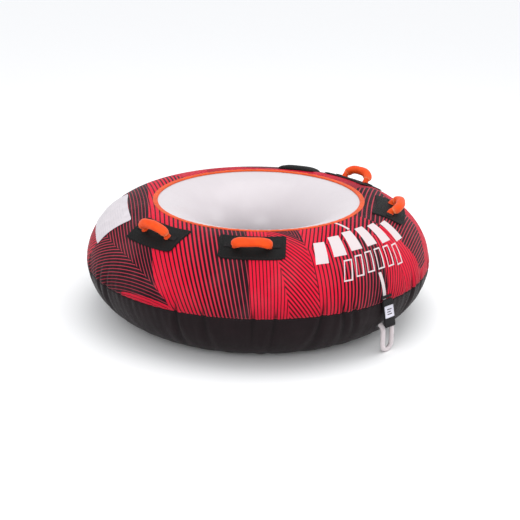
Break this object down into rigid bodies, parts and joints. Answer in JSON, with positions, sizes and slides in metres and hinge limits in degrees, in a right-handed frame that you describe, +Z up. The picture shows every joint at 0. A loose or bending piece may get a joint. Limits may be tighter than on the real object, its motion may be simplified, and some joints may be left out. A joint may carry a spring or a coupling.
{
  "type": "towable tube",
  "caption": "Round inflatable ring ridden behind a boat: printed cover, open well, foam grip handles, valve flap and a front tow point.",
  "frame": {"origin": "centre of the base panel, on the surface it rests on", "axes": "+Z up; the tow point faces -Y; +X is the rider's left when facing the tow point"},
  "size_m": [1.37, 1.3791, 0.4904],
  "materials": {
    "bladder": "smooth white PVC film, satin",
    "cover_top": "printed red and dark striped nylon, woven",
    "cover_side": "black woven nylon",
    "base_panel": "black woven nylon",
    "rim_binding": "orange woven edge binding",
    "knuckle_pad": "black nylon-faced neoprene, matt",
    "handle_webbing": "black webbing",
    "grip": "orange foam, satin",
    "warning_label": "white printed film",
    "valve_flap": "black neoprene, matt",
    "flap_hook_strip": "black hook tape",
    "valve_base": "white PVC",
    "valve_insert": "black moulded",
    "valve_cap": "black moulded",
    "tow_tab": "black heavy webbing",
    "tow_tab_anchor": "black heavy webbing",
    "tow_label": "white woven label",
    "tow_rope": "white braided rope",
    "eyelet": "black moulded",
    "grommet": "nickel plated",
    "zip_tape": "black zip tape",
    "zip_chain": "black moulded teeth",
    "zip_slider": "nickel plated",
    "zip_pull": "nickel plated"
  },
  "bodies": {
    "tube": {"base_panel": "base_panel", "bladder": "bladder", "cover_side": "cover_side", "cover_top": "cover_top", "drain_grommet_1": "grommet", "drain_grommet_2": "grommet", "drain_grommet_3": "grommet", "drain_grommet_4": "grommet", "flap_hook_strip": "flap_hook_strip", "handle_anchor_front_left_a": "handle_webbing", "handle_anchor_front_left_b": "handle_webbing", "handle_anchor_front_right_a": "handle_webbing", "handle_anchor_front_right_b": "handle_webbing", "handle_anchor_side_left_a": "handle_webbing", "handle_anchor_side_left_b": "handle_webbing", "handle_anchor_side_right_a": "handle_webbing", "handle_anchor_side_right_b": "handle_webbing", "knuckle_patch_front_left": "knuckle_pad", "knuckle_patch_front_right": "knuckle_pad", "knuckle_patch_side_left": "knuckle_pad", "knuckle_patch_side_right": "knuckle_pad", "rim_binding": "rim_binding", "rope_eyelet_left": "eyelet", "rope_eyelet_right": "eyelet", "tow_rope": "tow_rope", "tow_tab_anchor": "tow_tab_anchor", "valve_base": "valve_base", "valve_insert": "valve_insert", "warning_label": "warning_label", "zip_chain": "zip_chain", "zip_tape": "zip_tape"},
    "handle_side_right": {"grip_side_right": "grip", "handle_strap_side_right": "handle_webbing"},
    "handle_front_right": {"grip_front_right": "grip", "handle_strap_front_right": "handle_webbing"},
    "handle_front_left": {"grip_front_left": "grip", "handle_strap_front_left": "handle_webbing"},
    "handle_side_left": {"grip_side_left": "grip", "handle_strap_side_left": "handle_webbing"},
    "valve_flap": {"valve_flap": "valve_flap"},
    "valve_cap": {"valve_cap": "valve_cap"},
    "tow_tab": {"tow_tab": "tow_tab", "tow_label": "tow_label"},
    "zip_slider": {"zip_slider": "zip_slider"},
    "zip_pull": {"zip_pull": "zip_pull"}
  },
  "joints": [
    {"name": "handle_side_right_lean", "type": "hinge", "parent": "tube", "child": "handle_side_right", "pos_m": [-0.5446, -0.03331, 0.4381], "axis": [0.061, -0.9981, 0], "range_deg": [-56, 44]},
    {"name": "handle_front_right_lean", "type": "hinge", "parent": "tube", "child": "handle_front_right", "pos_m": [-0.37722, -0.37987, 0.44275], "axis": [0.7096, -0.7046, 0], "range_deg": [-83, 17]},
    {"name": "handle_front_left_lean", "type": "hinge", "parent": "tube", "child": "handle_front_left", "pos_m": [0.33875, -0.40371, 0.44616], "axis": [0.766, 0.6428, 0], "range_deg": [-90, 10]},
    {"name": "handle_side_left_lean", "type": "hinge", "parent": "tube", "child": "handle_side_left", "pos_m": [0.53276, -0.02326, 0.44363], "axis": [0.0436, 0.999, 0], "range_deg": [-72, 28]},
    {"name": "valve_flap_hinge", "type": "hinge", "parent": "tube", "child": "valve_flap", "pos_m": [0.39413, 0.20082, 0.45727], "axis": [0.454, -0.891, 0], "range_deg": [0, 120]},
    {"name": "valve_cap_hinge", "type": "hinge", "parent": "tube", "child": "valve_cap", "pos_m": [0.42801, 0.21808, 0.45776], "axis": [0.454, -0.891, 0], "range_deg": [0, 108]},
    {"name": "tow_tab_swing", "type": "hinge", "parent": "tube", "child": "tow_tab", "pos_m": [0.01566, -0.69002, 0.228], "axis": [-0.9997, -0.0227, 0], "range_deg": [0, 100]},
    {"name": "zip_slide", "type": "hinge", "parent": "tube", "child": "zip_slider", "pos_m": [0, 0, 0.18349], "axis": [0, 0, 1], "range_deg": [0, 41.24]},
    {"name": "zip_pull_swing", "type": "hinge", "parent": "zip_slider", "child": "zip_pull", "pos_m": [0.24155, 0.64199, 0.17622], "axis": [0.9359, -0.3522, 0], "range_deg": [0, 75]}
  ],
  "couplings": [
    {"joint": "valve_cap_hinge", "follows": "valve_flap_hinge", "ratio": 0.9}
  ]
}
